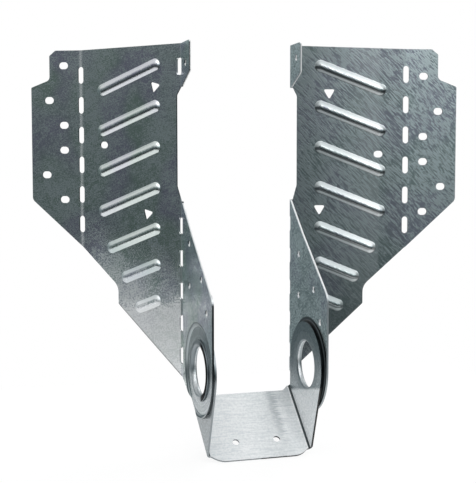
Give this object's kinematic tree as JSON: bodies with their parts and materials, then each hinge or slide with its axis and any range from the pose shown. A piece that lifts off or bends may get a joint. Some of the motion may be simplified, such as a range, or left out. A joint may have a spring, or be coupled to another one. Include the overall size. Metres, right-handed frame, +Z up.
{
  "type": "rafter hanger",
  "caption": "Sloping and skewing rafter hanger: two folded, beaded side plates with nailing flanges, joined by a seat that tilts on flanged eyelets.",
  "frame": {"origin": "midway between the two side plates, on the fold lines of their wings, level with the foot of the folds", "axes": "+X to the right across the rafter, +Y back towards the header, +Z up along the folds"},
  "size_m": [0.2521, 0.1281, 0.2491],
  "materials": {
    "left_side_plate": "galvanised, faintly spangled",
    "right_side_plate": "galvanised, faintly spangled",
    "hinged_seat": "galvanised, brushed along the sheet"
  },
  "bodies": {
    "left_plate": {"left_side_plate": "left_side_plate"},
    "seat": {"hinged_seat": "hinged_seat"},
    "right_plate": {"right_side_plate": "right_side_plate"}
  },
  "joints": [
    {"name": "seat_tilt", "type": "hinge", "parent": "left_plate", "child": "seat", "pos_m": [0, -0.0344, 0.0112], "axis": [1, 0, 0], "range_deg": [-86, 4]},
    {"name": "right_plate_pivot", "type": "hinge", "parent": "seat", "child": "right_plate", "pos_m": [0, -0.0344, 0.0112], "axis": [1, 0, 0], "range_deg": [-4, 86]}
  ],
  "couplings": [
    {"joint": "right_plate_pivot", "follows": "seat_tilt", "ratio": -1}
  ]
}
